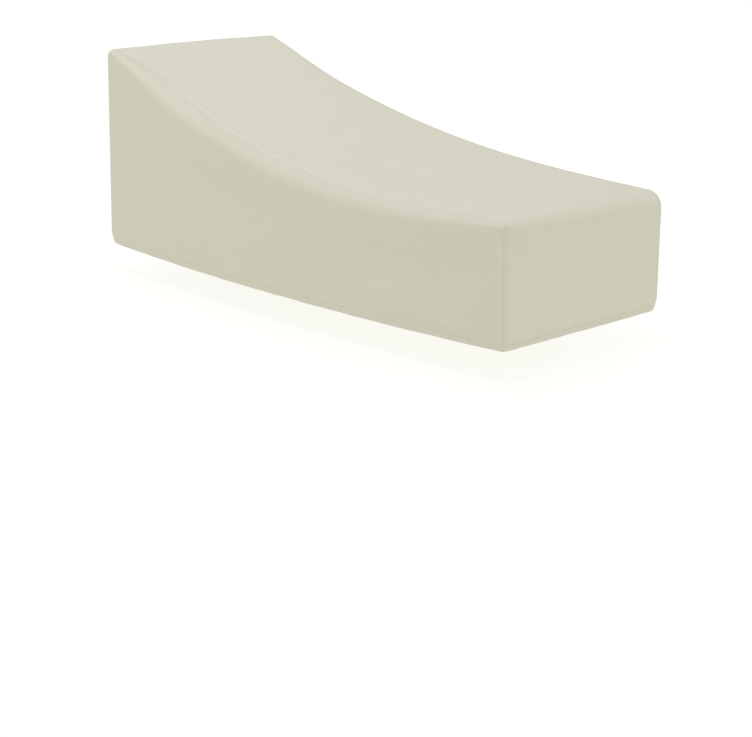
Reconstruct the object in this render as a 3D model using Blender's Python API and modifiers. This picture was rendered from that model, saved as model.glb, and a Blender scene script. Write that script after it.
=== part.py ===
"""A fitted cloth cover for a lounge chair, hanging in its own shape with nothing inside.

Three panels are sewn into one open-bottomed shell. The centre panel is one strip that runs up
the back, over the top and down the foot. A side panel closes each long side and carries the
rounded shoulder up to the seam. Units are metres and +Z is up. The head end points to -X and the
foot end to +X. The near side is at -Y. The origin is under the top at mid length, where the cover
is held up.
"""

import math
from collections import namedtuple

import bmesh
import bpy
import numpy as np

# Driving dimensions
LENGTH = 1.915
WIDTH = 0.810
SHEET = 0.002
SEAM_GAP = 0.0006

# Cross sections from the head end to the foot end. share is the part of the length. height is the
# top above the hem. shoulder is the radius of the rounded long edges. belly is how far each long
# side stands out. lift is how much higher the far edge lies than the near one. sag is how far the
# long hems hang below their corners.
Section = namedtuple("Section", "share height shoulder belly lift sag")
SECTIONS = (
    Section(0.00, 0.729, 0.016, 0.000, 0.000, 0.000),
    Section(0.05, 0.698, 0.037, 0.005, 0.006, 0.003),
    Section(0.15, 0.632, 0.075, 0.014, 0.016, 0.007),
    Section(0.30, 0.528, 0.067, 0.026, 0.027, 0.010),
    Section(0.45, 0.458, 0.063, 0.033, 0.031, 0.010),
    Section(0.60, 0.415, 0.060, 0.035, 0.030, 0.008),
    Section(0.80, 0.395, 0.050, 0.024, 0.020, 0.005),
    Section(1.00, 0.402, 0.021, 0.000, 0.000, 0.000),
)

# Rounded ends of the top, and the upright corners. The foot end is sharper at its near corner, for
# a share of the width.
HEAD_ROUND = 0.026
FOOT_ROUND_NEAR = 0.024
FOOT_ROUND_FAR = 0.050
NEAR_CORNER_SHARE = 0.45
CORNER_ROUND = 0.007

# How the walls lean, measured at the hem
SIDE_LEAN_IN = 0.006
HEAD_LEAN_IN = 0.006
FOOT_FLARE_OUT = 0.017
HEM_TUCK = 0.012
HEM_TUCK_HEIGHT = 0.055

# Mesh steps. TOP_CROWDING over 1 sets the top's stations closer together towards the head.
HEM_ROWS = (HEM_TUCK_HEIGHT, 0.55 * HEM_TUCK_HEIGHT, 0.25 * HEM_TUCK_HEIGHT, 0.0)
WALL_STEPS = 6
HEAD_ROUND_STEPS = 6
TOP_STEPS = 26
TOP_CROWDING = 1.3
FOOT_ROUND_STEPS = 7
SHOULDER_STEPS = 7
CENTRE_STEPS = 10
WELD_DISTANCE = 0.00001

# Colour of the cloth
CLOTH_COLOUR = (0.62, 0.61, 0.51, 1.0)
CLOTH_ROUGHNESS = 0.85


def smooth_line(knots, values):
    """Returns a natural cubic spline through the values, as a function of the knots' axis."""
    knots = np.asarray(knots, float)
    values = np.asarray(values, float)
    gaps = np.diff(knots)
    slopes = np.diff(values) / gaps
    matrix = np.eye(len(knots))
    target = np.zeros(len(knots))
    for i in range(1, len(gaps)):
        matrix[i, i - 1 : i + 2] = gaps[i - 1], 2 * (gaps[i - 1] + gaps[i]), gaps[i]
        target[i] = 6 * (slopes[i] - slopes[i - 1])
    bends = np.linalg.solve(matrix, target)

    def line(place):
        place = np.clip(place, knots[0], knots[-1])
        i = np.clip(np.searchsorted(knots, place) - 1, 0, len(gaps) - 1)
        before = place - knots[i]
        after = knots[i + 1] - place
        curved = (bends[i] * after**3 + bends[i + 1] * before**3) / (6 * gaps[i])
        start = values[i] / gaps[i] - bends[i] * gaps[i] / 6
        end = values[i + 1] / gaps[i] - bends[i + 1] * gaps[i] / 6
        return curved + start * after + end * before

    return line


def section_line(column):
    shares = [section.share for section in SECTIONS]
    return smooth_line(shares, [getattr(section, column) for section in SECTIONS])


top_height = section_line("height")
shoulder_radius = section_line("shoulder")
belly = section_line("belly")
far_lift = section_line("lift")
hem_sag = section_line("sag")


def rounded_end(wall, outward, radius, steps):
    """Points from an end wall over onto the top line. outward is -1 at the head, 1 at the foot."""
    centre_x = wall - outward * radius
    slope = top_slope(centre_x)
    over = math.hypot(1, slope)
    touch = centre_x - radius * slope / over
    centre_z = float(top_height(touch / LENGTH)) + slope * (centre_x - touch) - radius * over
    wall_angle = math.pi * (1 - outward) / 2
    top_angle = math.atan2(1, -slope)
    angles = np.linspace(wall_angle, top_angle, steps + 1)
    return np.stack([centre_x + radius * np.cos(angles), centre_z + radius * np.sin(angles)], axis=1)


def top_slope(x):
    """How steeply the top line climbs towards the foot."""
    step = 0.002
    rise = top_height((x + step) / LENGTH) - top_height((x - step) / LENGTH)
    return float(rise) / (2 * step)


def wall_heights(top):
    """Heights of a wall's rows from its top down to the hem, closer together near the hem."""
    upper = np.linspace(top, HEM_ROWS[0], WALL_STEPS + 1)
    lower = [np.full_like(upper[0], height) for height in HEM_ROWS[1:]]
    return np.concatenate([upper, np.stack(lower)])


def outline(foot_round):
    """The side view's edge from the head hem over the top to the foot hem, with its shoulder radius."""
    head = rounded_end(0, -1, HEAD_ROUND, HEAD_ROUND_STEPS)
    foot = rounded_end(LENGTH, 1, foot_round, FOOT_ROUND_STEPS)[::-1]
    crowded = np.linspace(0, 1, TOP_STEPS + 1)[1:-1] ** TOP_CROWDING
    along = head[-1, 0] + (foot[0, 0] - head[-1, 0]) * crowded
    middle = np.stack([along, top_height(along / LENGTH)], axis=1)
    line = np.concatenate([head, middle, foot])
    radius = shoulder_radius(line[:, 0] / LENGTH)
    radius[: len(head)] = np.linspace(CORNER_ROUND, radius[len(head) - 1], len(head))
    radius[-len(foot) :] = np.linspace(radius[-len(foot)], CORNER_ROUND, len(foot))
    up = wall_heights(line[0, 1])[:0:-1]
    down = wall_heights(line[-1, 1])[1:]
    head_wall = np.stack([np.zeros_like(up), up], axis=1)
    foot_wall = np.stack([np.full_like(down, LENGTH), down], axis=1)
    corner = np.full_like(up, CORNER_ROUND)
    return np.concatenate([head_wall, line, foot_wall]), np.concatenate([corner, radius, corner])


def inward_normals(line):
    """At each point of a line from head to foot, the direction square to it that points inside."""
    run = np.diff(line, axis=0)
    run /= np.linalg.norm(run, axis=1)[:, None]
    run = np.concatenate([run[:1], run[:-1] + run[1:], run[-1:]])
    run /= np.linalg.norm(run, axis=1)[:, None]
    return np.stack([run[:, 1], -run[:, 0]], axis=1)


def drape(x, y, z):
    """Moves points of the plain straight-sided cover to where the hung cloth lies."""
    share = x / LENGTH
    depth = 1 - z / top_height(share)
    tuck = HEM_TUCK * np.clip(1 - z / HEM_TUCK_HEIGHT, 0, 1) ** 2
    widen = belly(share) - SIDE_LEAN_IN * depth - tuck
    lean = (1 - share) * HEAD_LEAN_IN + share * FOOT_FLARE_OUT
    new_x = x + lean * depth + (1 - 2 * share) * tuck
    new_y = y * (1 + 2 * widen / WIDTH)
    new_z = z + far_lift(share) * (0.5 + y / WIDTH) * (1 - depth) - hem_sag(share) * depth
    return np.stack([new_x, new_y, new_z], axis=-1)


def ease(share):
    """Rises smoothly from 0 to 1."""
    share = np.clip(share, 0, 1)
    return share * share * (3 - 2 * share)


def centre_surface():
    """The outer face of the centre panel, from the head hem to the foot hem and from near to far."""
    near, near_radius = outline(FOOT_ROUND_NEAR)
    far, far_radius = outline(FOOT_ROUND_FAR)
    share = np.linspace(0, 1, CENTRE_STEPS + 1)
    near_edge = near_radius + SEAM_GAP - WIDTH / 2
    far_edge = WIDTH / 2 - SEAM_GAP - far_radius
    y = near_edge[:, None] * (1 - share) + far_edge[:, None] * share
    blend = ease(share / NEAR_CORNER_SHARE)[:, None]
    line = near[:, None] * (1 - blend) + far[:, None] * blend
    return drape(line[..., 0], y, line[..., 1])


def side_surfaces(side, foot_round):
    """The outer face of a side panel: the rounded shoulder from the seam inwards, then the flat wall."""
    line, radius = outline(foot_round)
    turn = np.linspace(0, math.pi / 2, SHOULDER_STEPS + 1)
    depth = radius[:, None] * (1 - np.cos(turn))
    points = line[:, None] + inward_normals(line)[:, None] * depth[..., None]
    y = side * (WIDTH / 2 - radius[:, None] * (1 - np.sin(turn)))
    shoulder = drape(points[..., 0], y, points[..., 1])

    rim = points[:, -1]
    rows = WALL_STEPS + len(HEM_ROWS) - 1
    top = rim[rows : len(rim) - rows]
    x = np.repeat(top[:, :1], rows + 1, axis=1)
    z = wall_heights(top[:, 1]).T
    x[0], z[0] = rim[rows::-1].T
    x[-1], z[-1] = rim[len(rim) - rows - 1 :].T
    wall = drape(x, np.full_like(x, side * WIDTH / 2), z)
    return shoulder, wall


def cloth_material(name):
    material = bpy.data.materials.new(name)
    material.use_nodes = True
    shader = material.node_tree.nodes["Principled BSDF"]
    shader.inputs["Base Color"].default_value = CLOTH_COLOUR
    shader.inputs["Roughness"].default_value = CLOTH_ROUGHNESS
    shader.inputs["Metallic"].default_value = 0.0
    return material


def add_grid(cloth, points):
    """Adds a grid of faces whose corners are the points."""
    columns, rows = points.shape[0] - 1, points.shape[1] - 1
    grid = bmesh.ops.create_grid(cloth, x_segments=columns, y_segments=rows, size=0.5)
    for vertex in grid["verts"]:
        column = round((vertex.co.x + 0.5) * columns)
        row = round((vertex.co.y + 0.5) * rows)
        vertex.co = points[column, row]


def lay_panel(name, surfaces, origin, collection):
    """Makes one sheet of the surfaces, joined where they meet, with the cloth's thickness inwards."""
    cloth = bmesh.new()
    for points in surfaces:
        add_grid(cloth, points - origin)
    bmesh.ops.remove_doubles(cloth, verts=cloth.verts, dist=WELD_DISTANCE)
    mesh = bpy.data.meshes.new(name)
    cloth.to_mesh(mesh)
    cloth.free()
    mesh.shade_smooth()
    mesh.materials.append(cloth_material(name))
    panel = bpy.data.objects.new(name, mesh)
    collection.objects.link(panel)
    thickness = panel.modifiers.new("Cloth thickness", "SOLIDIFY")
    thickness.thickness = SHEET
    thickness.offset = -1
    thickness.use_even_offset = True
    thickness.use_quality_normals = True


def build_cover():
    for old in list(bpy.data.objects):
        bpy.data.objects.remove(old, do_unlink=True)
    collection = bpy.data.collections.new("lounge_chair_cover")
    bpy.context.scene.collection.children.link(collection)

    middle = drape(LENGTH / 2, 0.0, top_height(0.5))
    origin = middle - np.array([0, 0, SHEET])
    shoulder, wall = side_surfaces(-1, FOOT_ROUND_NEAR)
    lay_panel("side_panel_near", (shoulder[:, ::-1], wall[:, ::-1]), origin, collection)
    shoulder, wall = side_surfaces(1, FOOT_ROUND_FAR)
    lay_panel("side_panel_far", (shoulder, wall), origin, collection)
    lay_panel("centre_panel", (centre_surface(),), origin, collection)


build_cover()
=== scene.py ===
"""The looks of the fitted lounge chair cover: fine cloth panels, seams, hem, creases and stitches.

Each panel is a thin sheet laid over its solid in the frame, from the same driving dimensions. It is
given its sewn seam, its turned-up hem and the soft creases of hung cloth. Units are metres and +Z
is up. Plain measures run from the head end (x 0) to the foot end, from the near side (-y) to the
far side, and up from the hem (z 0), before the cloth is draped. Near, far, head and foot are as in
the frame.
"""

import math
from collections import namedtuple

import bmesh
import bpy
import numpy as np
from mathutils import Matrix, Vector


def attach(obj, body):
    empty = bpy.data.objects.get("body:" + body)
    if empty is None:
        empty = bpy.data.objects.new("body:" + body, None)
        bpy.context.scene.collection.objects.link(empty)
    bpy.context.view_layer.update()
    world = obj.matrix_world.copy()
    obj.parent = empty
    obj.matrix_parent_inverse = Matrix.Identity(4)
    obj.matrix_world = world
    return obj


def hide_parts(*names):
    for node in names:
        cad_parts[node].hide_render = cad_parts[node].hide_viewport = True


# Driving dimensions of the cover, as in the frame's solids
LENGTH = 1.915
WIDTH = 0.810
SHEET = 0.002

# Cross sections from the head end to the foot end, as in the frame's solids. share is the part of
# the length. height is the top above the hem. shoulder is the radius of the rounded long edges.
# belly is how far each long side stands out. lift is how much higher the far edge lies than the
# near one. sag is how far the long hems hang below their corners.
Section = namedtuple("Section", "share height shoulder belly lift sag")
SECTIONS = (
    Section(0.00, 0.729, 0.016, 0.000, 0.000, 0.000),
    Section(0.05, 0.698, 0.037, 0.005, 0.006, 0.003),
    Section(0.15, 0.632, 0.075, 0.014, 0.016, 0.007),
    Section(0.30, 0.528, 0.067, 0.026, 0.027, 0.010),
    Section(0.45, 0.458, 0.063, 0.033, 0.031, 0.010),
    Section(0.60, 0.415, 0.060, 0.035, 0.030, 0.008),
    Section(0.80, 0.395, 0.050, 0.024, 0.020, 0.005),
    Section(1.00, 0.402, 0.021, 0.000, 0.000, 0.000),
)

# Rounded ends of the top, the upright corners, and how the walls lean, as in the frame's solids.
# The foot end is sharper at its near corner, for a share of the width.
HEAD_ROUND = 0.026
FOOT_ROUND_NEAR = 0.024
FOOT_ROUND_FAR = 0.050
NEAR_CORNER_SHARE = 0.45
CORNER_ROUND = 0.007
SIDE_LEAN_IN = 0.006
HEAD_LEAN_IN = 0.006
FOOT_FLARE_OUT = 0.017
HEM_TUCK = 0.012
HEM_TUCK_HEIGHT = 0.055

# Thickness of the dressed cloth
CLOTH_THICKNESS = 0.0012

# The sewn seam: both panels dip into it, most of all at the upright corners, and the seam allowance
# lifts a welt on the side panel. The seam holds the cloth, so that creases fade out within
# SEAM_HOLD of it. The welt comes up over one stretch of the length and goes down over another.
SEAM_HOLD = 0.012
SEAM_DIP = 0.0005
SEAM_DIP_WIDTH = 0.0035
CORNER_DIP = 0.0030
CORNER_DIP_WIDTH = 0.0120
WELT_RISE = 0.0014
WELT_PLACE = 0.0080
WELT_WIDTH = 0.0050
WELT_AT_ENDS = 0.05
WELT_COMES_UP = (0.28, 0.48)
WELT_GOES_DOWN = (1.35, 1.75)

# The hem is turned up inside and held by a row of stitches. Its edge is eased outwards, and where
# the cloth is doubled it stands a little proud of the cloth above.
HEM_EASE = 0.005
HEM_TURN = 0.022
HEM_TURN_GAP = 0.0032
HEM_TURN_STEPS = 4
HEM_RISE = 0.0006
HEM_RISE_EDGE = 0.0015
HEM_ROW = 0.019
HEM_ROW_DIP = 0.0007
HEM_ROW_WIDTH = 0.0018

# Shape of the long shoulders. The places and spreads of the trough and the roll are shares of the
# arc from seam to rim, and those of the hollow under the rim are distances. The roll and the trough
# are full from a shoulder radius of FULL_SHOULDER, and fade along the length to ROLL_FADE_REST.
FULL_SHOULDER = 0.055
TROUGH_PLACE_HEAD = 0.24
TROUGH_PLACE = 0.34
TROUGH_SPREAD = 0.17
TROUGH_DEPTH = 0.0075
ROLL_PLACE = 0.72
ROLL_SPREAD = 0.14
ROLL_RISE = 0.0036
ROLL_FADE = (0.15, 0.95)
ROLL_FADE_REST = 0.30
UNDER_PLACE = 0.090
UNDER_SPREAD = 0.075
UNDER_DEPTH = 0.0110

# Soft unevenness of hung cloth. A SLANT is how far the slack's waves lean across a panel. Each of
# UNEVEN_WAVES is the height, rate and shift of a wave that adds to an unevenness.
CROWN_RISE = 0.0035
CROWN_FADE = 0.06
PUCKER_PITCH = 0.027
PUCKER_RISE = 0.00030
PUCKER_REACH = 0.022
HEM_WAVE = 0.0018
HEM_WAVE_PITCH = 0.21
HEM_WAVE_REACH = 0.09
SLACK_RISE = 0.0012
SLACK_PITCH = 0.34
SLACK_SLANT_CENTRE = 0.6
SLACK_SLANT_SIDE = 0.8
UNEVEN_WAVES = ((1.0, 1.0, 0.0), (0.7, 1.618, 1.3), (0.4, 2.414, 4.1))

# Creases, given one by one. On a side panel start and end are (x, z) in plain measures. On the centre
# panel they are (distance along the strip from the head hem, y). bow bends the crease sideways.
# CREASE_TAPER is the part of its length over which each end fades out.
CREASE_TAPER = 0.2
Crease = namedtuple("Crease", "panel start end bow width height")
CREASES = (
    Crease("side_panel_near", (1.34, 0.112), (1.86, 0.086), 0.006, 0.036, 0.0120),
    Crease("side_panel_near", (1.38, 0.045), (1.84, 0.036), 0.004, 0.026, -0.0032),
    Crease("side_panel_near", (1.878, 0.380), (1.878, -0.040), 0.000, 0.030, -0.0050),
    Crease("side_panel_near", (1.84, 0.305), (1.58, 0.262), -0.020, 0.016, -0.0012),
    Crease("side_panel_near", (0.05, 0.30), (0.05, 0.56), 0.010, 0.024, 0.0016),
    Crease("side_panel_near", (0.16, 0.46), (0.46, 0.30), -0.030, 0.030, -0.0014),
    Crease("side_panel_near", (0.20, 0.09), (0.62, 0.13), 0.020, 0.040, 0.0014),
    Crease("side_panel_far", (0.32, 0.10), (0.80, 0.08), 0.008, 0.026, 0.0022),
    Crease("side_panel_far", (0.06, 0.24), (0.07, 0.52), -0.010, 0.026, 0.0016),
    Crease("side_panel_far", (1.28, 0.22), (1.72, 0.29), 0.022, 0.024, -0.0014),
    Crease("side_panel_far", (0.20, 0.44), (0.52, 0.28), -0.028, 0.028, -0.0014),
    Crease("centre_panel", (1.36, -0.05), (1.40, -0.25), 0.010, 0.022, 0.0010),
    Crease("centre_panel", (1.72, 0.05), (1.80, 0.22), -0.012, 0.024, -0.0010),
    Crease("centre_panel", (2.80, 0.34), (3.00, 0.34), 0.000, 0.030, 0.0020),
    Crease("centre_panel", (0.46, -0.20), (0.58, 0.16), 0.020, 0.030, -0.0012),
    Crease("centre_panel", (0.14, -0.26), (0.22, -0.05), 0.010, 0.026, 0.0014),
)

# Stitches, along the welts and the hem. Each has STITCH_SIDES faces around it, and STITCH_BANDS from
# end to end. STITCH_STAND is how far its middle stands clear of the cloth, as a share of its radius.
STITCH_PITCH = 0.0044
STITCH_LENGTH = 0.0034
STITCH_THICKNESS = 0.0007
STITCH_STAND = 0.4
STITCH_PLACE = 0.0066
STITCH_SIDES = 6
STITCH_BANDS = 4

# Mesh steps. A CROWDING over 1 sets the steps closer together towards the head or the seam.
# SEAM_ROWS are the distances from a seam of the centre panel's closest rows. SLOPE_STEP is the
# distance to each side over which the top's slope is taken.
WALL_STEPS = 34
HEM_STEPS = 20
HEAD_ROUND_STEPS = 10
TOP_STEPS = 290
TOP_CROWDING = 1.2
FOOT_ROUND_STEPS = 14
SHOULDER_STEPS = 30
SHOULDER_CROWDING = 1.5
SEAM_ROWS = (0, 0.0008, 0.0016, 0.0026, 0.0038, 0.0052, 0.0070, 0.0090, 0.0115, 0.0150)
CENTRE_STEPS = 74
SLOPE_STEP = 0.002
WELD_DISTANCE = 0.00001

# What the cloth's mesh holds for its material: places on the cut cloth, and its painted light and shade
FLAT_LAYER = "flat_cut"
PAINTED_LIGHT_LAYER = "painted_light_and_shade"

# Colours and weave of the cloth. A pair is the lowest and highest value of what varies, and a SPAN
# is the noise values that stand for them. A DETAIL is how many finer layers a noise has.
CLOTH_LIGHT = (0.665, 0.650, 0.522, 1)
CLOTH_DEEP = (0.658, 0.644, 0.513, 1)
CLOTH_ROUGHNESS = (0.78, 0.90)
SHEEN = 0.15
SHEEN_ROUGHNESS = 0.5
MOTTLE_PER_METRE = 3.2
MOTTLE_DETAIL = 4.0
MOTTLE_SPAN = (0.35, 0.65)
GRAIN_SPAN = (0.3, 0.7)
SLUB_PER_METRE = (14.0, 420.0, 1.0)
SLUB_DETAIL = 2.0
SLUB_SHADE = (0.985, 1.015)
WEAVE_PITCH = 0.0015
WEAVE_DEPTH = 0.00012
WEAVE_STRENGTH = 0.6
WEAVE_SHADE = (0.975, 1.020)
WEAVE_WAVER = {"Distortion": 0.6, "Detail": 1.0, "Detail Scale": 0.02}
THREAD_LIGHT = (0.680, 0.668, 0.540, 1)
THREAD_DEEP = (0.580, 0.570, 0.460, 1)
THREAD_ROUGHNESS = 0.6
PLY_PER_METRE = 900.0
PLY_DETAIL = 1.0

# Length of one wave of Blender's wave texture at scale 1
TEXTURE_WAVE = 2 * math.pi / 20

# Painted light and shade, as parts of the cloth's lightness: a painted highlight on the welt, and
# painted shade in the trough, the seams and towards the hem, most of all on the end walls. A REACH is
# how far the shade spreads.
WELT_PAINTED_HIGHLIGHT = 0.075
TROUGH_PAINTED_SHADE = 0.04
GROOVE_PAINTED_SHADE = 0.03
GROOVE_REACH = 0.0035
CORNER_PAINTED_SHADE = 0.036
CORNER_REACH = 0.0130
HEM_PAINTED_SHADE = 0.020
HEM_PAINTED_SHADE_REACH = 0.035
END_HEM_PAINTED_SHADE = 0.065
END_HEM_PAINTED_SHADE_REACH = 0.060

# Stage and camera
FLOOR_BELOW_HEM = 0.107
FLOOR_SIZE = 60.0
FLOOR_COLOUR = (0.15, 0.15, 0.145, 1)
FLOOR_GLOW_COLOUR = (0.99, 0.985, 0.95, 1)
FLOOR_GLOW = 0.86
ROOM_COLOUR = (1, 1, 1, 1)
ROOM_LIGHT = 0.62
Softbox = namedtuple("Softbox", "name place target power size colour")
SOFTBOXES = (
    Softbox("overhead", (-0.3, -1.3, 6.5), (-0.3, -1.3, 0.0), 205.0, 4.0, (0.905, 0.915, 1.00)),
    Softbox("fill", (6.4, 1.8, 1.4), (0.97, 0.0, -0.2), 37.0, 2.5, (1.00, 0.99, 0.96)),
    Softbox("head_fill", (-2.4, -3.6, 0.8), (-0.9, -0.4, 0.0), 6.0, 1.5, (1.00, 0.99, 0.96)),
)
CAMERA_PLACE = (4.458, -4.624, 1.125)
CAMERA_AZIMUTH = math.radians(43.575)
CAMERA_ELEVATION = math.radians(16.724)
CAMERA_ROLL = math.radians(1.813)
CAMERA_LENS = 89.0


# The cover's smooth lines, and how it drapes


def smooth_line(knots, values):
    """Returns a natural cubic spline through the values, as a function of the knots' axis."""
    knots = np.asarray(knots, float)
    values = np.asarray(values, float)
    gaps = np.diff(knots)
    slopes = np.diff(values) / gaps
    matrix = np.eye(len(knots))
    target = np.zeros(len(knots))
    for i in range(1, len(gaps)):
        matrix[i, i - 1 : i + 2] = gaps[i - 1], 2 * (gaps[i - 1] + gaps[i]), gaps[i]
        target[i] = 6 * (slopes[i] - slopes[i - 1])
    bends = np.linalg.solve(matrix, target)

    def line(place):
        place = np.clip(place, knots[0], knots[-1])
        i = np.clip(np.searchsorted(knots, place) - 1, 0, len(gaps) - 1)
        before = place - knots[i]
        after = knots[i + 1] - place
        curved = (bends[i] * after**3 + bends[i + 1] * before**3) / (6 * gaps[i])
        start = values[i] / gaps[i] - bends[i] * gaps[i] / 6
        end = values[i + 1] / gaps[i] - bends[i + 1] * gaps[i] / 6
        return curved + start * after + end * before

    return line


def section_line(column):
    """A smooth line through one column of SECTIONS, as a function of the share of the length."""
    shares = [section.share for section in SECTIONS]
    return smooth_line(shares, [getattr(section, column) for section in SECTIONS])


top_height = section_line("height")
shoulder_radius = section_line("shoulder")
belly = section_line("belly")
far_lift = section_line("lift")
hem_sag = section_line("sag")


def drape(x, y, z):
    """Moves points of the plain straight-sided cover to where the hung cloth lies."""
    share = x / LENGTH
    depth = 1 - z / top_height(share)
    tuck = HEM_TUCK * np.clip(1 - z / HEM_TUCK_HEIGHT, 0, 1) ** 2
    widen = belly(share) - SIDE_LEAN_IN * depth - tuck
    lean = (1 - share) * HEAD_LEAN_IN + share * FOOT_FLARE_OUT
    new_x = x + lean * depth + (1 - 2 * share) * tuck
    new_y = y * (1 + 2 * widen / WIDTH)
    new_z = z + far_lift(share) * (0.5 + y / WIDTH) * (1 - depth) - hem_sag(share) * depth
    return np.stack([new_x, new_y, new_z], axis=-1)


def drape_out(plain, normal, distance):
    """Drapes the points after moving them outwards along their normals."""
    moved = plain + normal * distance[..., None]
    return drape(moved[..., 0], moved[..., 1], moved[..., 2])


def frame_origin():
    """The frame's origin in the cover's own measures: under the top at mid length."""
    return drape(LENGTH / 2, 0.0, top_height(0.5)) - np.array([0, 0, SHEET])


# Small helpers for points, grids and fades


def unit(vectors):
    """The vectors, each made 1 long."""
    return vectors / np.linalg.norm(vectors, axis=-1, keepdims=True)


def run_along(points):
    """The distance of each point from the first one, along the line through them."""
    return np.concatenate([[0], np.linalg.norm(np.diff(points, axis=0), axis=1).cumsum()])


def repeated(column, grid):
    """The column's values, each repeated along its row of the grid."""
    return np.broadcast_to(column[:, None], grid.shape)


def between(first, second, share):
    """A value between the two, nearer the second as the share rises."""
    return first + (second - first) * share


def swell(place, centre, spread):
    """A soft bump of height 1 around the centre."""
    return np.exp(-(((place - centre) / spread) ** 2))


def fade_in(place, start, end):
    """Rises smoothly from 0 at the start to 1 at the end."""
    share = np.clip((place - start) / (end - start), 0, 1)
    return share * share * (3 - 2 * share)


def uneven(place, pitch):
    """A wave of about that pitch and height 1 that never quite repeats."""
    turn = 2 * math.pi * place / pitch
    waves = sum(height * np.sin(rate * turn + shift) for height, rate, shift in UNEVEN_WAVES)
    return waves / sum(height for height, _, _ in UNEVEN_WAVES)


# The side view's edge, as points and directions (x, z)

HEADWARDS = (-1.0, 0.0)
FOOTWARDS = (1.0, 0.0)


def top_slope(x):
    """How steeply the top line climbs towards the foot."""
    rise = top_height((x + SLOPE_STEP) / LENGTH) - top_height((x - SLOPE_STEP) / LENGTH)
    return float(rise) / (2 * SLOPE_STEP)


def rounded_end(wall, outward, radius, steps):
    """Points from an end wall over onto the top line. outward is -1 at the head, 1 at the foot."""
    centre_x = wall - outward * radius
    slope = top_slope(centre_x)
    over = math.hypot(1, slope)
    touch = centre_x - radius * slope / over
    centre_z = float(top_height(touch / LENGTH)) + slope * (centre_x - touch) - radius * over
    wall_angle = math.pi * (1 - outward) / 2
    top_angle = math.atan2(1, -slope)
    angles = np.linspace(wall_angle, top_angle, steps + 1)
    return np.stack([centre_x + radius * np.cos(angles), centre_z + radius * np.sin(angles)], axis=1)


def line_normals(line):
    """At each point of the line over the top from head to foot, the direction square to it, outwards."""
    run = unit(np.diff(line, axis=0))
    run = unit(run[:-1] + run[1:])
    middle = np.stack([-run[:, 1], run[:, 0]], axis=1)
    return np.concatenate([[HEADWARDS], middle, [FOOTWARDS]])


def top_edge(foot_round):
    """The line over the top from wall to wall, and the shoulder's radius at each of its points."""
    head = rounded_end(0, -1, HEAD_ROUND, HEAD_ROUND_STEPS)
    foot = rounded_end(LENGTH, 1, foot_round, FOOT_ROUND_STEPS)[::-1]
    crowded = np.linspace(0, 1, TOP_STEPS + 1)[1:-1] ** TOP_CROWDING
    x = head[-1, 0] + (foot[0, 0] - head[-1, 0]) * crowded
    middle = np.stack([x, top_height(x / LENGTH)], axis=1)
    line = np.concatenate([head, middle, foot])
    radius = shoulder_radius(line[:, 0] / LENGTH)
    radius[: len(head)] = np.linspace(CORNER_ROUND, radius[len(head) - 1], len(head))
    radius[-len(foot) :] = np.linspace(radius[-len(foot)], CORNER_ROUND, len(foot))
    return line, radius


def hem_turn():
    """Heights and insets of the rows that turn the hem up inside, from its edge to its raw edge."""
    radius = HEM_TURN_GAP / 2
    turn = np.linspace(0, math.pi, HEM_TURN_STEPS + 2)[1:]
    rise = np.linspace(0, HEM_TURN, HEM_TURN_STEPS)[1:]
    heights = np.concatenate([-radius * np.sin(turn), rise])
    insets = np.concatenate([radius * (1 - np.cos(turn)), np.full_like(rise, HEM_TURN_GAP)])
    return heights, insets


HEM_TURN_ROWS = len(hem_turn()[0])
WALL_ROWS = WALL_STEPS + HEM_STEPS + HEM_TURN_ROWS


def wall_heights(top):
    """Heights of a wall's rows from its top down to the hem, and on up inside the turned hem."""
    top = np.asarray(top, float)
    upper = np.linspace(top, HEM_TUCK_HEIGHT, WALL_STEPS + 1)
    lower = np.linspace(HEM_TUCK_HEIGHT, 0, HEM_STEPS + 1)[1:]
    lower = np.concatenate([lower, hem_turn()[0]])
    return np.concatenate([upper, lower.reshape(-1, *[1] * top.ndim) + np.zeros_like(top)])


def wall_insets():
    """How far inside the wall's outer face each of its rows lies."""
    return np.concatenate([np.zeros(WALL_STEPS + HEM_STEPS + 1), hem_turn()[1]])


def hem_distances(heights):
    """Distance along the cloth from the hem's edge, below nought inside the turned hem."""
    height, inset = hem_turn()
    run = np.hypot(np.diff(height, prepend=0), np.diff(inset, prepend=0)).cumsum()
    distance = np.array(heights, float)
    distance[-HEM_TURN_ROWS:] = -run.reshape(-1, *[1] * (distance.ndim - 1))
    return distance


def end_wall(x, top):
    """An end wall's points below its top, and their distances from the hem's edge."""
    heights = wall_heights(top)
    points = np.stack([np.full(WALL_ROWS, x, float), heights[1:]], axis=1)
    return points, hem_distances(heights)[1:]


# The edge of the side view from the head hem over the top to the foot hem. line and normal are (x, z).
# inset is how far inside the outer face a point lies, radius is the shoulder's there, and hem is its
# distance from the hem's edge. along is the distance along the cloth from the head hem's edge.
# upright is 1 along the end walls.
Outline = namedtuple("Outline", "line normal inset radius hem along upright")


def outline(foot_round):
    """The side view's edge, for that round between the top and the foot end."""
    over, radius = top_edge(foot_round)
    head_line, head_hem = (rows[::-1] for rows in end_wall(0, over[0, 1]))
    foot_line, foot_hem = end_wall(LENGTH, over[-1, 1])
    over_along = over[0, 1] + run_along(over)
    over_hem = np.linspace(over[0, 1], over[-1, 1], len(over))
    head_normal, foot_normal = (np.tile(way, (WALL_ROWS, 1)) for way in (HEADWARDS, FOOTWARDS))
    normal = np.concatenate([head_normal, line_normals(over), foot_normal])
    inset = wall_insets()[1:]
    corner = np.full(WALL_ROWS, CORNER_ROUND)
    return Outline(
        line=np.concatenate([head_line, over, foot_line]),
        normal=normal,
        inset=np.concatenate([inset[::-1], np.zeros(len(over)), inset]),
        radius=np.concatenate([corner, radius, corner]),
        hem=np.concatenate([head_hem, over_hem, foot_hem]),
        along=np.concatenate([head_hem, over_along, over_along[-1] + over[-1, 1] - foot_hem]),
        upright=1 - fade_in(normal[:, 1], 0, 1),
    )
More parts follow.
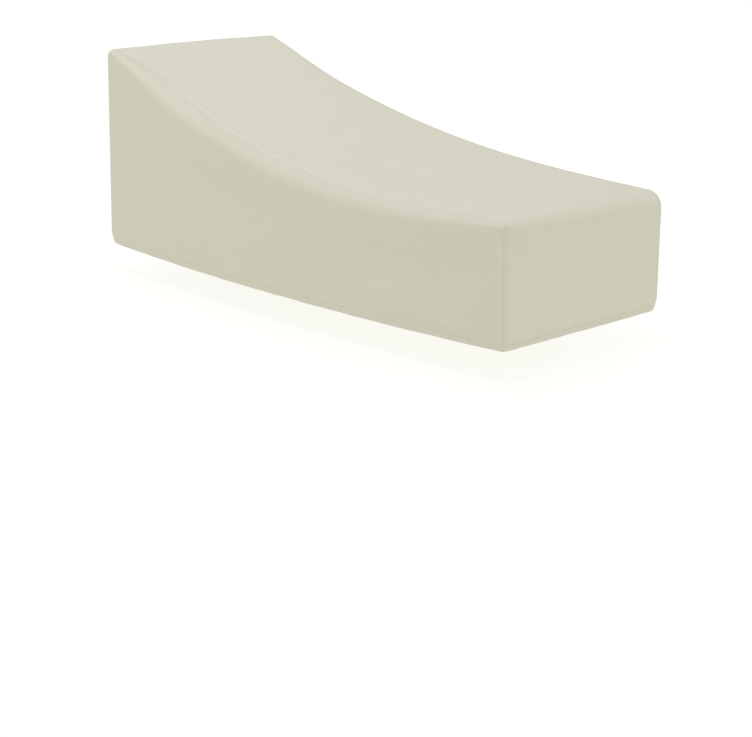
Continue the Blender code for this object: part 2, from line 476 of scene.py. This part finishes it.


# Relief of the cloth, as distances outwards from the plain surface, and its tone of painted light and
# shade

# Where the points of a patch lie on the cloth: their distances from the seam and from the hem's
# edge, a measure that runs along the seam, how upright the seam is there, and their place as in
# CREASES
Spots = namedtuple("Spots", "seam hem run upright place")


def crease_relief(panel, place):
    """The creases of the panel, on a grid of places in the measures that CREASES uses."""
    relief = np.zeros(place.shape[:2])
    for crease in CREASES:
        if crease.panel != panel:
            continue
        start, end = np.array(crease.start), np.array(crease.end)
        run = end - start
        length = np.hypot(*run)
        across = np.array([-run[1], run[0]]) / length
        share = np.clip((place - start) @ run / length**2, 0, 1)
        taper = fade_in(share, 0, CREASE_TAPER) * fade_in(1 - share, 0, CREASE_TAPER)
        share = share[..., None]
        spine = start + share * run + 4 * share * (1 - share) * crease.bow * across
        distance = np.linalg.norm(place - spine, axis=-1)
        relief += crease.height * taper * swell(distance, 0, crease.width)
    return relief


def sewn_relief(spots, hem_run):
    """The seam's dip and puckers, and the hem's ease, doubled cloth, row and waves, on any panel."""
    seam, hem, upright = spots.seam, spots.hem, spots.upright
    long_dip = -SEAM_DIP * (1 - upright) * swell(seam, 0, SEAM_DIP_WIDTH)
    corner_dip = -CORNER_DIP * upright * swell(seam, 0, CORNER_DIP_WIDTH)
    pucker = PUCKER_RISE * uneven(spots.run, PUCKER_PITCH) * np.exp(-seam / PUCKER_REACH)
    ease = HEM_EASE * np.clip(1 - np.abs(hem) / HEM_TUCK_HEIGHT, 0, 1) ** 2
    rise = HEM_RISE * fade_in(-hem, -HEM_TURN - HEM_RISE_EDGE, -HEM_TURN + HEM_RISE_EDGE)
    row = -HEM_ROW_DIP * swell(hem, HEM_ROW, HEM_ROW_WIDTH)
    wave = HEM_WAVE * uneven(hem_run, HEM_WAVE_PITCH) * np.exp(-np.maximum(hem, 0) / HEM_WAVE_REACH)
    sewn = long_dip + corner_dip + pucker + ease + rise + row
    return sewn + wave * fade_in(seam, 0, HEM_WAVE_REACH)


def centre_relief(spots):
    """The centre panel's relief: what is sewn, a low crown across its width, slack and creases."""
    along, y = spots.place[..., 0], spots.place[..., 1]
    inward = np.clip(2 * spots.seam / WIDTH, 0, 1)
    crown = CROWN_RISE * inward * (2 - inward) * fade_in(spots.hem, 0, CROWN_FADE)
    slack = SLACK_RISE * uneven(along + SLACK_SLANT_CENTRE * y, SLACK_PITCH)
    slack = slack * fade_in(spots.seam, 0, SLACK_PITCH / 2)
    creases = crease_relief("centre_panel", spots.place) * fade_in(spots.seam, 0, SEAM_HOLD)
    return sewn_relief(spots, y) + crown + slack + creases


def welt_height(spots):
    """The welt's share of its full height. It is pulled flat towards both ends."""
    x = spots.place[..., 0]
    full = fade_in(x, *WELT_COMES_UP) * (1 - fade_in(x, *WELT_GOES_DOWN))
    return swell(spots.seam, WELT_PLACE, WELT_WIDTH) * between(WELT_AT_ENDS, 1, full)


def shoulder_form(spots, share, arc):
    """How full the roll and the trough of a long shoulder are. share runs from seam to rim."""
    rest = fade_in(spots.place[..., 0], *ROLL_FADE)
    full = np.clip(2 * arc / math.pi / FULL_SHOULDER, 0, 1) * (1 - spots.upright)
    full = full * between(1, ROLL_FADE_REST, rest)
    trough_place = between(TROUGH_PLACE_HEAD, TROUGH_PLACE, rest)
    return full * swell(share, ROLL_PLACE, ROLL_SPREAD), full * swell(share, trough_place, TROUGH_SPREAD)


def hem_shade(spots, depth, reach):
    """How much painted shade darkens the cloth towards the hem's edge."""
    return depth * (1 - fade_in(spots.hem, 0, reach))


def painted_tone(spots, welt=0, trough=0, end_wall=0):
    """The cloth's painted light and shade: a painted highlight on the welt, painted shade in the trough,
    the seams and towards the hem. end_wall is 1 on an end wall, well inside its corners.
    """
    depth = between(GROOVE_PAINTED_SHADE, CORNER_PAINTED_SHADE, spots.upright)
    reach = between(GROOVE_REACH, CORNER_REACH, spots.upright)
    side_hem = hem_shade(spots, HEM_PAINTED_SHADE, HEM_PAINTED_SHADE_REACH)
    end_hem = hem_shade(spots, END_HEM_PAINTED_SHADE, END_HEM_PAINTED_SHADE_REACH)
    painted_shade = depth * swell(spots.seam, 0, reach) + between(side_hem, end_hem, end_wall)
    return 1 + WELT_PAINTED_HIGHLIGHT * welt - TROUGH_PAINTED_SHADE * trough - painted_shade


def side_relief(panel, spots, below, arc):
    """A side panel's relief, and its tone of painted highlight and shade.

    arc is the length of the shoulder's arc from seam to rim. below is how far past the rim a place
    lies, under nought before it.
    """
    x, z = spots.place[..., 0], spots.place[..., 1]
    roll, trough = shoulder_form(spots, 1 + below / arc, arc)
    welt = welt_height(spots)
    free = fade_in(spots.seam, 0, SEAM_HOLD)
    inside = fade_in(below, 0, UNDER_PLACE) * fade_in(spots.seam, 0, UNDER_PLACE)
    under = UNDER_DEPTH * swell(below, UNDER_PLACE, UNDER_SPREAD)
    slack = SLACK_RISE * uneven(x + SLACK_SLANT_SIDE * z, SLACK_PITCH)
    relief = sewn_relief(spots, x) + WELT_RISE * welt + (slack - under) * inside
    relief += (ROLL_RISE * roll - TROUGH_DEPTH * trough + crease_relief(panel, spots.place)) * free
    return relief, painted_tone(spots, welt, trough)


# The panels, as grids of points. points are draped. flat is each point's place on the cut cloth.
# seam and hem are its distances from the nearest seam and from the hem's edge. tone is the painted
# highlight and shade of the cloth.
Patch = namedtuple("Patch", "points flat seam hem tone")


def centre_patch():
    """The centre panel, from the head hem to the foot hem and from near to far."""
    near, far = outline(FOOT_ROUND_NEAR), outline(FOOT_ROUND_FAR)
    near_edge, far_edge = (near.radius - WIDTH / 2)[:, None], (WIDTH / 2 - far.radius)[:, None]
    fine = np.array(SEAM_ROWS)
    share = np.linspace(0, 1, CENTRE_STEPS + 1)[1:-1]
    middle = (near_edge + fine[-1]) * (1 - share) + (far_edge - fine[-1]) * share
    y = np.concatenate([near_edge + fine, middle, far_edge - fine[::-1]], axis=1)
    blend = fade_in((y - near_edge) / (far_edge - near_edge), 0, NEAR_CORNER_SHARE)[..., None]
    line = near.line[:, None] * (1 - blend) + far.line[:, None] * blend
    normal = unit(near.normal[:, None] * (1 - blend) + far.normal[:, None] * blend)
    x, z = line[..., 0], line[..., 1]
    plain = np.stack([x, y, z], axis=-1)
    normal = np.stack([normal[..., 0], np.zeros_like(y), normal[..., 1]], axis=-1)
    columns = near.along, near.hem, near.inset, near.upright
    along, hem, inset, upright = (repeated(column, y) for column in columns)
    seam = np.minimum(y - near_edge, far_edge - y)
    spots = Spots(seam, hem, x - z, upright, np.stack([along, y], axis=-1))
    points = drape_out(plain, normal, centre_relief(spots) - inset)
    cut_y = y * (1 + 2 * belly(x / LENGTH) / WIDTH)
    # Painted shade in the seams and towards the hem.
    tone = painted_tone(spots, end_wall=fade_in(seam, 0, END_HEM_PAINTED_SHADE_REACH))
    return Patch(points, np.stack([along, cut_y], axis=-1), seam, hem, tone)


def shoulder_patch(panel, side, edge):
    """The rounded edge of a side panel from the seam to its rim, and the rim, as plain (x, z)."""
    turn = np.linspace(0, 1, SHOULDER_STEPS + 1) ** SHOULDER_CROWDING * math.pi / 2
    radius = edge.radius[:, None]
    line = edge.line[:, None] - edge.normal[:, None] * (radius * (1 - np.cos(turn)))[..., None]
    y = side * (WIDTH / 2 - radius * (1 - np.sin(turn)))
    plain = np.stack([line[..., 0], y, line[..., 1]], axis=-1)
    lean = edge.normal[:, None] * np.cos(turn)[:, None]
    normal = np.stack([lean[..., 0], side * np.sin(turn) + np.zeros_like(y), lean[..., 1]], axis=-1)
    rim = line[:, -1]
    below = radius * (turn - math.pi / 2)
    place = rim[:, None] - edge.normal[:, None] * below[..., None]
    rim_hem = np.where(edge.hem < 0, edge.hem, rim[:, 1])
    columns = rim_hem, edge.inset, edge.line[:, 0] - edge.line[:, 1], edge.upright
    hem, inset, run, upright = (repeated(column, y) for column in columns)
    spots = Spots(radius * turn, hem, run, upright, place)
    relief, tone = side_relief(panel, spots, below, repeated(edge.radius, y) * math.pi / 2)
    flat = place + np.stack([np.zeros_like(y), hem - rim[:, 1:]], axis=-1)
    points = drape_out(plain, normal, relief - inset)
    return Patch(points, flat, spots.seam, hem, tone), rim


def wall_patch(panel, side, edge, rim):
    """The flat wall of a side panel, from the shoulder's rim down to the hem."""
    over = slice(WALL_ROWS, -WALL_ROWS)
    z = wall_heights(rim[over, 1]).T
    x = np.repeat(rim[over, :1], z.shape[1], axis=1)
    x[0], z[0] = rim[WALL_ROWS::-1].T
    x[-1], z[-1] = rim[-WALL_ROWS - 1 :].T
    hem = hem_distances(z.T).T
    arc = repeated(edge.radius[over], z) * math.pi / 2
    below = rim[over, 1:] - z
    corner_arc = CORNER_ROUND * math.pi / 2
    corner_seam = np.minimum(x, LENGTH - x) - CORNER_ROUND + corner_arc
    upright = fade_in(arc + below - corner_seam, -corner_arc, corner_arc)
    seam = np.minimum(arc + below, corner_seam)
    run = (edge.line[over, 0] - edge.line[over, 1])[:, None] + below
    spots = Spots(seam, hem, run, upright, np.stack([x, z], axis=-1))
    relief, tone = side_relief(panel, spots, below, arc)
    plain = np.stack([x, np.full_like(x, side * WIDTH / 2), z], axis=-1)
    points = drape_out(plain, np.array([0.0, side, 0.0]), relief - wall_insets())
    return Patch(points, np.stack([x, hem], axis=-1), seam, hem, tone)


def side_patches(panel, side, edge):
    """A side panel: its rounded shoulder, and its wall, which gets the rim's own points as its edge."""
    shoulder, rim = shoulder_patch(panel, side, edge)
    wall = wall_patch(panel, side, edge, rim)
    rim_points = shoulder.points[:, -1]
    wall.points[:, 0] = rim_points[WALL_ROWS:-WALL_ROWS]
    wall.points[0] = rim_points[WALL_ROWS::-1]
    wall.points[-1] = rim_points[-WALL_ROWS - 1 :]
    return shoulder, wall


# Meshes of the panels


def add_object(name, data):
    """A new object in the scene."""
    added = bpy.data.objects.new(name, data)
    bpy.context.scene.collection.objects.link(added)
    return added


def add_patch(sheet, patch, flip):
    """Adds the patch's points and faces to the sheet. flip turns the faces over."""
    flat_layer = sheet.verts.layers.float_vector[FLAT_LAYER]
    tone_layer = sheet.verts.layers.float[PAINTED_LIGHT_LAYER]
    values = zip(
        (patch.points - frame_origin()).reshape(-1, 3).tolist(),
        patch.flat.reshape(-1, 2).tolist(),
        patch.tone.ravel().tolist(),
    )
    verts = []
    for point, flat, tone in values:
        vert = sheet.verts.new(point)
        vert[flat_layer] = (*flat, 0)
        vert[tone_layer] = tone
        verts.append(vert)
    columns, rows = patch.seam.shape
    for column in range(columns - 1):
        for row in range(rows - 1):
            corner = column * rows + row
            ring = [corner, corner + rows, corner + rows + 1, corner + 1]
            if flip:
                ring.reverse()
            sheet.faces.new([verts[i] for i in ring]).smooth = True


def join_patches(name, patches, flip):
    """Makes one sheet of the patches, joined where they meet."""
    sheet = bmesh.new()
    sheet.verts.layers.float_vector.new(FLAT_LAYER)
    sheet.verts.layers.float.new(PAINTED_LIGHT_LAYER)
    for patch in patches:
        add_patch(sheet, patch, flip)
    bmesh.ops.remove_doubles(sheet, verts=sheet.verts, dist=WELD_DISTANCE)
    mesh = bpy.data.meshes.new(name)
    sheet.to_mesh(mesh)
    sheet.free()
    panel = add_object(name, mesh)
    thickness = panel.modifiers.new("Cloth thickness", "SOLIDIFY")
    thickness.thickness = CLOTH_THICKNESS
    thickness.offset = -1
    return panel


# Stitches


def trace(points, distance, place):
    """The line across the grid's columns at that distance, and the normals of the cloth along it."""
    normals = unit(np.cross(np.gradient(points, axis=0), np.gradient(points, axis=1)))
    columns = range(len(points))

    def at_place(grid):
        found = [[np.interp(place, distance[i], grid[i, :, k]) for k in range(3)] for i in columns]
        return np.array(found)

    return at_place(points), at_place(normals)


def at_distances(places, run, values):
    """The values of a line at those places. run is the distance along the line of each value."""
    return np.stack([np.interp(places, run, values[:, k]) for k in range(3)], axis=1)


def stitch_template():
    """Points and faces of one stitch, a slim rounded thread of length 2 and radius 1 along Z."""
    turns = [2 * math.pi * (side + 0.5) / STITCH_SIDES for side in range(STITCH_SIDES)]
    points = [(0, 0, -1)]
    for tilt in np.linspace(-math.pi / 2, math.pi / 2, STITCH_BANDS + 1)[1:-1]:
        ring, height = math.cos(tilt), math.sin(tilt)
        points += [(ring * math.cos(turn), ring * math.sin(turn), height) for turn in turns]
    points.append((0, 0, 1))
    top = len(points) - 1
    faces = []
    for side in range(STITCH_SIDES):
        ahead = (side + 1) % STITCH_SIDES
        faces.append([0, 1 + ahead, 1 + side])
        for low in range(1, top - STITCH_SIDES, STITCH_SIDES):
            high = low + STITCH_SIDES
            faces.append([low + side, low + ahead, high + ahead, high + side])
        faces.append([top, top - STITCH_SIDES + side, top - STITCH_SIDES + ahead])
    return np.array(points, float), faces


def stitch_row(template, line, outward):
    """The points of each stitch along the line. outward is the way out of the cloth at its points."""
    run = run_along(line)
    places = np.arange(STITCH_PITCH, run[-1] - STITCH_PITCH, STITCH_PITCH)
    centre = at_distances(places, run, line)
    ahead = unit(at_distances(places + STITCH_LENGTH / 2, run, line) - centre)
    up = unit(at_distances(places, run, outward))
    side = np.cross(up, ahead)
    radius = STITCH_THICKNESS / 2
    points = centre[:, None] + up[:, None] * radius * STITCH_STAND
    points = points + side[:, None] * template[:, :1] * radius
    points = points + up[:, None] * template[:, 1:2] * radius
    return points + ahead[:, None] * template[:, 2:] * STITCH_LENGTH / 2


def sew(name, rows, material):
    """One mesh of stitches along the rows. Each row is a line and the outward direction along it."""
    template, template_faces = stitch_template()
    blocks = [stitch_row(template, line, outward) for line, outward in rows]
    points = np.concatenate(blocks) - frame_origin()
    count, size = points.shape[:2]
    faces = [[i + stitch * size for i in face] for stitch in range(count) for face in template_faces]
    mesh = bpy.data.meshes.new(name)
    mesh.from_pydata(points.reshape(-1, 3).tolist(), [], faces)
    mesh.shade_smooth()
    stitches = add_object(name, mesh)
    dress(stitches, material)
    return stitches


# Materials


def new_material(name):
    """A new material, its node tree and its shader."""
    material = bpy.data.materials.new(name)
    material.use_nodes = True
    tree = material.node_tree
    return material, tree, tree.nodes["Principled BSDF"]


def add_node(tree, kind, inputs=None, **settings):
    """A new node in the tree, with its settings and then the values of its inputs."""
    node = tree.nodes.new(kind)
    for name, value in settings.items():
        setattr(node, name, value)
    for name, value in (inputs or {}).items():
        node.inputs[name].default_value = value
    return node


def add_noise(tree, place, scale, detail):
    """Noise over the place, as a value."""
    noise = add_node(tree, "ShaderNodeTexNoise", {"Scale": scale, "Detail": detail})
    tree.links.new(place, noise.inputs["Vector"])
    return noise.outputs["Fac"]


def multiply_colour(tree, colour, shade):
    """Darkens or lightens the colour by the grey value of shade."""
    mix = add_node(tree, "ShaderNodeMix", {"Factor": 1}, data_type="RGBA", blend_type="MULTIPLY")
    tree.links.new(colour, mix.inputs["A"])
    tree.links.new(shade, mix.inputs["B"])
    return mix.outputs["Result"]


def blend_colours(tree, first, second, share):
    """A colour between the two, nearer the second as the share rises."""
    mix = add_node(tree, "ShaderNodeMix", {"A": first, "B": second}, data_type="RGBA")
    tree.links.new(share, mix.inputs["Factor"])
    return mix.outputs["Result"]


def remap(tree, value, span, new_span):
    """Stretches the value's span to the new one."""
    ends = {"From Min": span[0], "From Max": span[1], "To Min": new_span[0], "To Max": new_span[1]}
    node = add_node(tree, "ShaderNodeMapRange", ends)
    tree.links.new(value, node.inputs["Value"])
    return node.outputs["Result"]


def add_threads(tree, flat, direction):
    """Threads that lie side by side in that direction and waver a little, as a height."""
    inputs = {"Scale": TEXTURE_WAVE / (2 * WEAVE_PITCH), **WEAVE_WAVER}
    settings = {"wave_type": "BANDS", "bands_direction": direction}
    threads = add_node(tree, "ShaderNodeTexWave", inputs, **settings)
    tree.links.new(flat, threads.inputs["Vector"])
    return threads.outputs["Fac"]


def weave_height(tree, flat):
    """A plain weave: warp and weft threads that pass over each other in turn."""
    over = add_node(tree, "ShaderNodeTexChecker", {"Scale": 1 / WEAVE_PITCH})
    weave = add_node(tree, "ShaderNodeMix", data_type="FLOAT")
    tree.links.new(flat, over.inputs["Vector"])
    tree.links.new(over.outputs["Fac"], weave.inputs["Factor"])
    tree.links.new(add_threads(tree, flat, "X"), weave.inputs["A"])
    tree.links.new(add_threads(tree, flat, "Y"), weave.inputs["B"])
    return weave.outputs["Result"]


def slub_noise(tree, flat):
    """Long thin streaks, where the yarn is thicker or thinner."""
    stretched = add_node(tree, "ShaderNodeMapping", {"Scale": SLUB_PER_METRE})
    tree.links.new(flat, stretched.inputs["Vector"])
    return add_noise(tree, stretched.outputs["Vector"], 1.0, SLUB_DETAIL)


def cloth_material():
    """Pale sage-beige coated polyester: matt, finely woven, faintly mottled, with painted shade in its
    seams, trough and hem and a painted highlight on its welts.
    """
    material, tree, shader = new_material("cover_cloth")
    shader.inputs["Sheen Weight"].default_value = SHEEN
    shader.inputs["Sheen Roughness"].default_value = SHEEN_ROUGHNESS
    flat = add_node(tree, "ShaderNodeAttribute", attribute_name=FLAT_LAYER).outputs["Vector"]
    # The mesh's painted highlight and shade, which lighten or darken the base colour.
    painted_lightness = add_node(tree, "ShaderNodeAttribute", attribute_name=PAINTED_LIGHT_LAYER).outputs["Fac"]

    mottle = remap(tree, add_noise(tree, flat, MOTTLE_PER_METRE, MOTTLE_DETAIL), MOTTLE_SPAN, (0, 1))
    slub = slub_noise(tree, flat)
    weave = weave_height(tree, flat)
    colour = blend_colours(tree, CLOTH_LIGHT, CLOTH_DEEP, mottle)
    colour = multiply_colour(tree, colour, remap(tree, slub, GRAIN_SPAN, SLUB_SHADE))
    colour = multiply_colour(tree, colour, remap(tree, weave, (0, 1), WEAVE_SHADE))
    tree.links.new(multiply_colour(tree, colour, painted_lightness), shader.inputs["Base Color"])

    roughness = remap(tree, slub, GRAIN_SPAN, CLOTH_ROUGHNESS)
    tree.links.new(roughness, shader.inputs["Roughness"])
    bump = add_node(tree, "ShaderNodeBump", {"Strength": WEAVE_STRENGTH, "Distance": WEAVE_DEPTH})
    tree.links.new(weave, bump.inputs["Height"])
    tree.links.new(bump.outputs["Normal"], shader.inputs["Normal"])
    return material


def thread_material():
    """Matt sewing thread, a shade deeper than the cloth, with the twist of its plies."""
    material, tree, shader = new_material("cover_thread")
    shader.inputs["Roughness"].default_value = THREAD_ROUGHNESS
    place = add_node(tree, "ShaderNodeTexCoord").outputs["Object"]
    ply = remap(tree, add_noise(tree, place, PLY_PER_METRE, PLY_DETAIL), GRAIN_SPAN, (0, 1))
    colour = blend_colours(tree, THREAD_DEEP, THREAD_LIGHT, ply)
    tree.links.new(colour, shader.inputs["Base Color"])
    return material


# Putting the cover together


def dress(piece, material, panels=()):
    """Gives the piece its material, says what carries it, and hides the solids it stands for."""
    piece.data.materials.append(material)
    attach(piece, "root")
    if panels:
        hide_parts(*panels)


def lay_sheet(name, patches, material, flip=False):
    """Makes the patches into the panel's sheet and dresses it in the material."""
    panel = join_patches(name + "_cloth", patches, flip)
    dress(panel, material, [name])


def build_centre(cloth, thread):
    """The centre panel, with a row of stitches along the hem at each end."""
    centre = centre_patch()
    head, foot = slice(0, WALL_ROWS), slice(None, -WALL_ROWS - 1, -1)
    rows = []
    for end, outward in ((head, -1), (foot, 1)):
        grid = centre.points[end].transpose(1, 0, 2)
        line, normals = trace(grid, centre.hem[end].T, HEM_ROW)
        rows.append((line, outward * normals))
    stitches = sew("centre_panel_stitches", rows, thread)
    lay_sheet("centre_panel", (centre,), cloth)


def build_side(name, side, foot_round, cloth, thread):
    """A side panel, with stitches on its welt and along its hem. side is -1 for the near one, else 1."""
    shoulder, wall = side_patches(name, side, outline(foot_round))
    welt_line, welt_normals = trace(shoulder.points, shoulder.seam, STITCH_PLACE)
    hem_line, hem_normals = trace(wall.points, -wall.hem, -HEM_ROW)
    rows = [(welt_line, side * welt_normals), (hem_line, side * hem_normals)]
    stitches = sew(name + "_stitches", rows, thread)
    lay_sheet(name, (shoulder, wall), cloth, flip=side < 0)


# Stage


def light_room():
    """Soft white studio light from all around, with large lamps above and at both ends."""
    world = bpy.data.worlds.new("studio")
    world.use_nodes = True
    sky = world.node_tree.nodes["Background"]
    sky.inputs["Color"].default_value = ROOM_COLOUR
    sky.inputs["Strength"].default_value = ROOM_LIGHT
    bpy.context.scene.world = world
    bpy.context.scene.view_settings.view_transform = "Standard"
    for softbox in SOFTBOXES:
        lamp = bpy.data.lights.new(softbox.name, "AREA")
        lamp.energy = softbox.power
        lamp.color = softbox.colour
        lamp.size = softbox.size
        light = add_object(softbox.name, lamp)
        aim = Vector(softbox.target) - Vector(softbox.place)
        light.location = softbox.place
        light.rotation_euler = aim.to_track_quat("-Z", "Y").to_euler()


def lay_floor():
    """A plain pale floor, a little below the hem."""
    bpy.ops.mesh.primitive_plane_add(size=FLOOR_SIZE)
    floor = bpy.context.object
    floor.name = "floor"
    floor.location.z = -float(frame_origin()[2]) - FLOOR_BELOW_HEM
    material, _, shader = new_material("floor")
    shader.inputs["Base Color"].default_value = FLOOR_COLOUR
    shader.inputs["Emission Color"].default_value = FLOOR_GLOW_COLOUR
    shader.inputs["Emission Strength"].default_value = FLOOR_GLOW
    floor.data.materials.append(material)


def place_camera():
    """The camera at the photo's viewing angle. Azimuth 0 looks along +Y, and 90 along -X."""
    camera = add_object("camera", bpy.data.cameras.new("camera"))
    camera.data.lens = CAMERA_LENS
    level = math.cos(CAMERA_ELEVATION)
    forward = Vector(
        (
            -math.sin(CAMERA_AZIMUTH) * level,
            math.cos(CAMERA_AZIMUTH) * level,
            -math.sin(CAMERA_ELEVATION),
        )
    )
    turn = forward.to_track_quat("-Z", "Y").to_matrix().to_4x4()
    roll = Matrix.Rotation(CAMERA_ROLL, 4, "Z")
    camera.matrix_world = Matrix.Translation(CAMERA_PLACE) @ turn @ roll
    bpy.context.scene.camera = camera


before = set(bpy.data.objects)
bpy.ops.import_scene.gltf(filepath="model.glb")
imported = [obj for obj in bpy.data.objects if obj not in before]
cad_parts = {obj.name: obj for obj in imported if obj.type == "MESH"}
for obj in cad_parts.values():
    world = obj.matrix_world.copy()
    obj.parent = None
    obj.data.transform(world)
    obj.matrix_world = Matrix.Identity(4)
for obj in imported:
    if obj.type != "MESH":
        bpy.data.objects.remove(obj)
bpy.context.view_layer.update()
place_camera()
light_room()
lay_floor()
cover_cloth, cover_thread = cloth_material(), thread_material()
build_centre(cover_cloth, cover_thread)
build_side("side_panel_near", -1, FOOT_ROUND_NEAR, cover_cloth, cover_thread)
build_side("side_panel_far", 1, FOOT_ROUND_FAR, cover_cloth, cover_thread)
